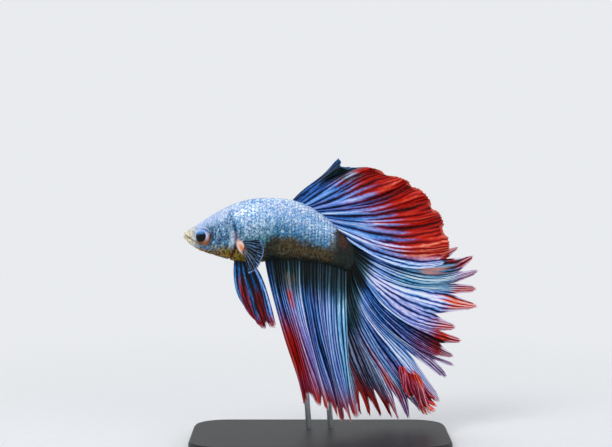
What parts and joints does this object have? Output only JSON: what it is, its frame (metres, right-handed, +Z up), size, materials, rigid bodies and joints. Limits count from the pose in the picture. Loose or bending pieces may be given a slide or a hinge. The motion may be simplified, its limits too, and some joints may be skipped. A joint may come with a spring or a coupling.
{
  "type": "betta fish display model",
  "caption": "Still, life-size model of a male Siamese fighting fish with long combed fins, held above a flat stand on thin rods.",
  "frame": {"origin": "middle of the stand base's underside, on the surface that the stand rests on", "axes": "+Z up, -X towards the fish's snout, -Y towards its left flank, and the tail swings away to +Y"},
  "size_m": [0.0817, 0.0425, 0.0774],
  "materials": {
    "skin": "wet satin fish skin with pale metallic scales",
    "eye": "dark, wet and glossy, opaque",
    "fin": "thin ribbed fin web, blue with red edges",
    "clear_fin": "clear fin web on dark fine rays",
    "stand_rod": "polished steel rod",
    "stand_base": "black plate with a soft polish"
  },
  "bodies": {
    "root": {"head": "skin", "lower_jaw": "skin", "gill_cover_left": "skin", "gill_cover_right": "skin", "trunk_front": "skin", "trunk_rear": "skin", "tail_stalk": "skin", "eye_left": "eye", "eye_right": "eye", "dorsal_fin": "fin", "tail_fin": "fin", "anal_fin": "fin", "pelvic_fin_left": "fin", "pelvic_fin_right": "fin", "pectoral_fin_left": "clear_fin", "pectoral_fin_right": "clear_fin", "stand_rod_front": "stand_rod", "stand_rod_rear": "stand_rod", "stand_base": "stand_base"}
  },
  "joints": []
}
